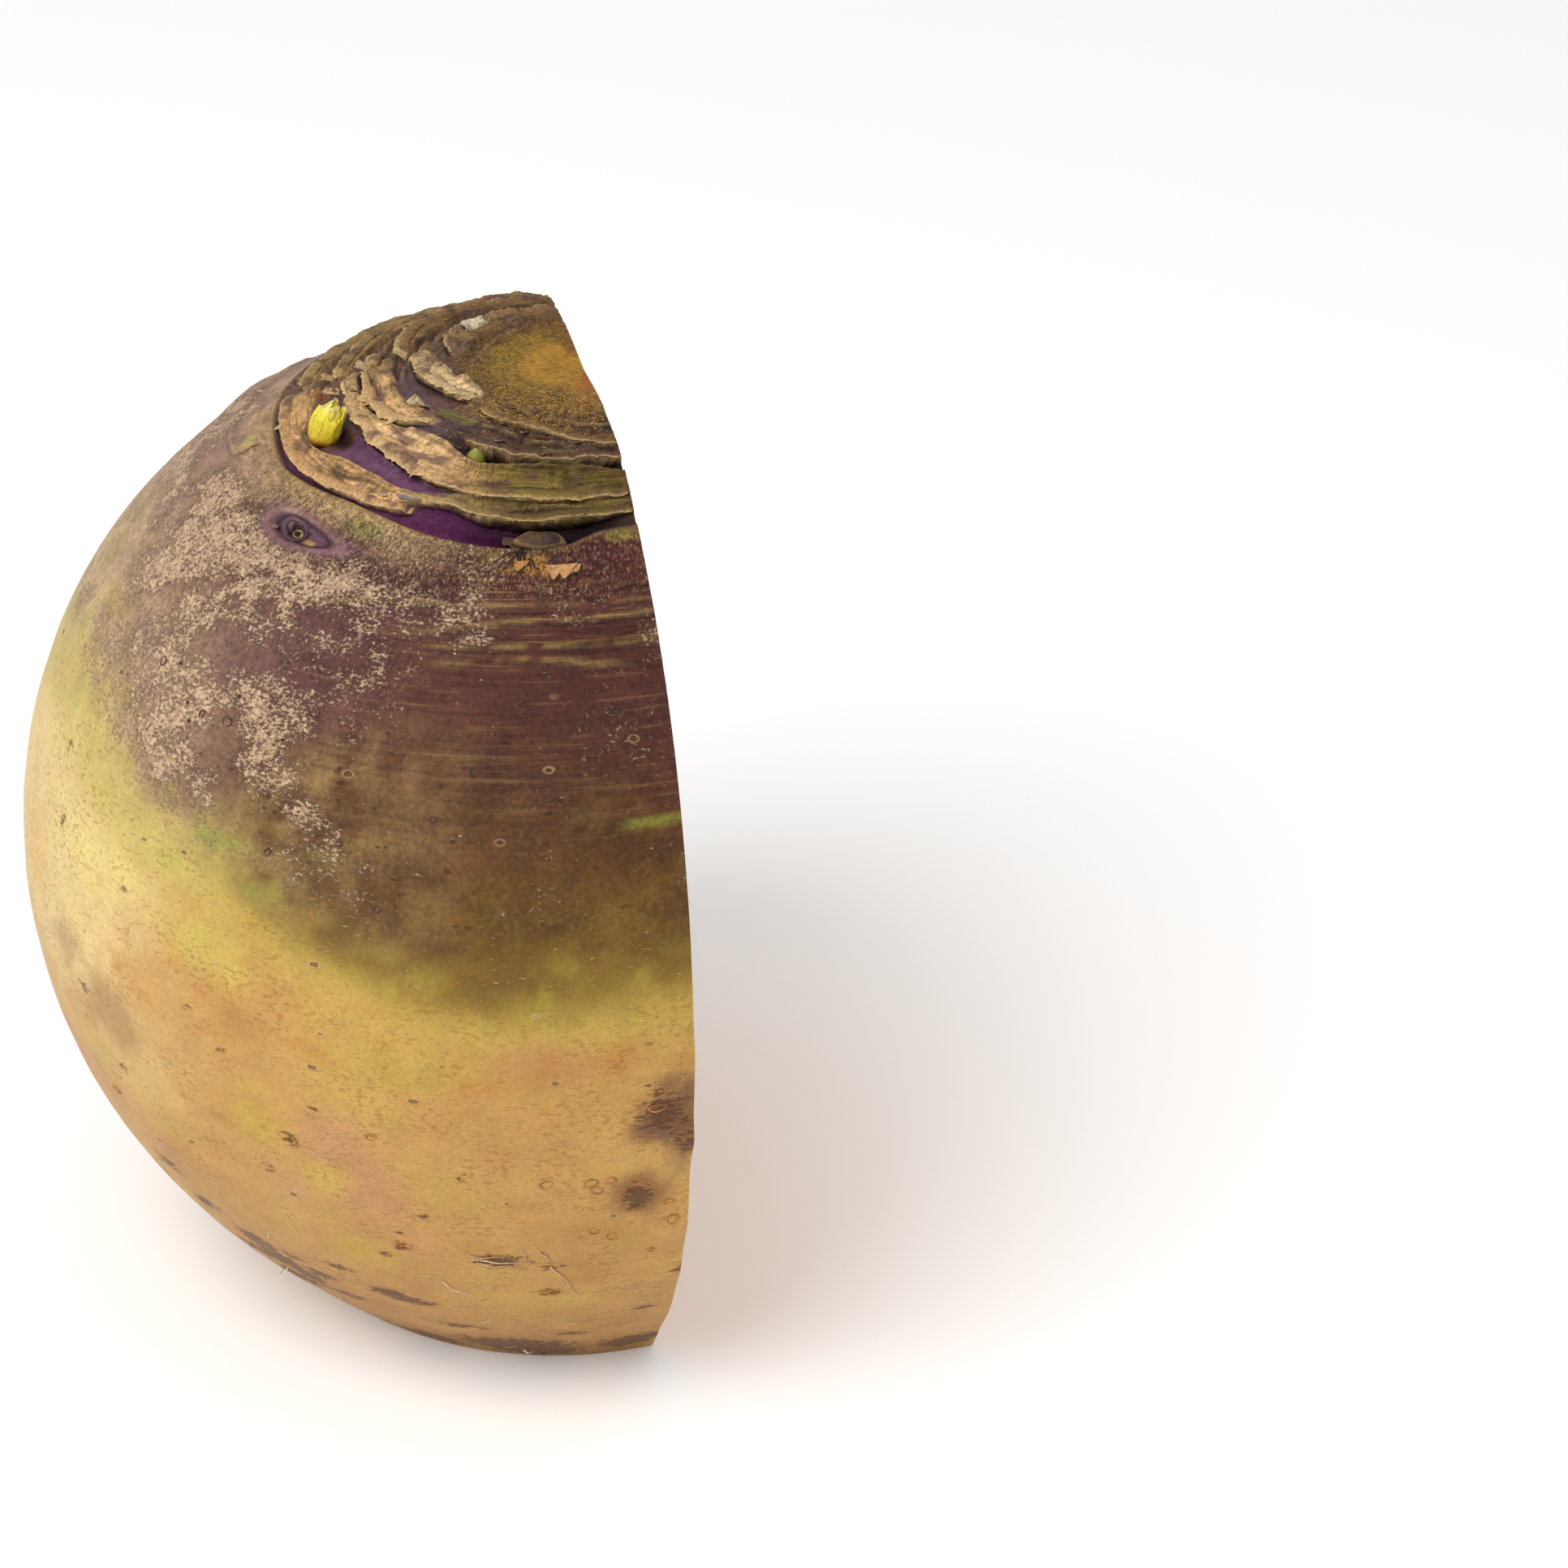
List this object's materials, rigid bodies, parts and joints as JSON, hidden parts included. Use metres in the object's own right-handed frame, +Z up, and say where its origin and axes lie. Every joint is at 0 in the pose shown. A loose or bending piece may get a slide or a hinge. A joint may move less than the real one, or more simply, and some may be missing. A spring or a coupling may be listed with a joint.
{
  "type": "rutabaga half",
  "caption": "Half of a raw rutabaga, cut from crown to tip, with leaf-scarred purple crown, bud and flat cut face, standing on its trimmed root end.",
  "frame": {"origin": "middle of the bounding box's bottom, which is on the plane of the trimmed root end", "axes": "+Z up the growth axis from the trimmed end to the crown, +X out of the cut face, Y along the cut face"},
  "size_m": [0.0703, 0.1253, 0.1195],
  "materials": {
    "skin": "raw rutabaga skin, purple above and yellow below, low satin sheen",
    "flesh": "moist cut rutabaga flesh, orange-yellow",
    "bud": "fresh yellow-green leaf bud"
  },
  "bodies": {
    "root": {"rutabaga_half": "skin"}
  },
  "joints": []
}
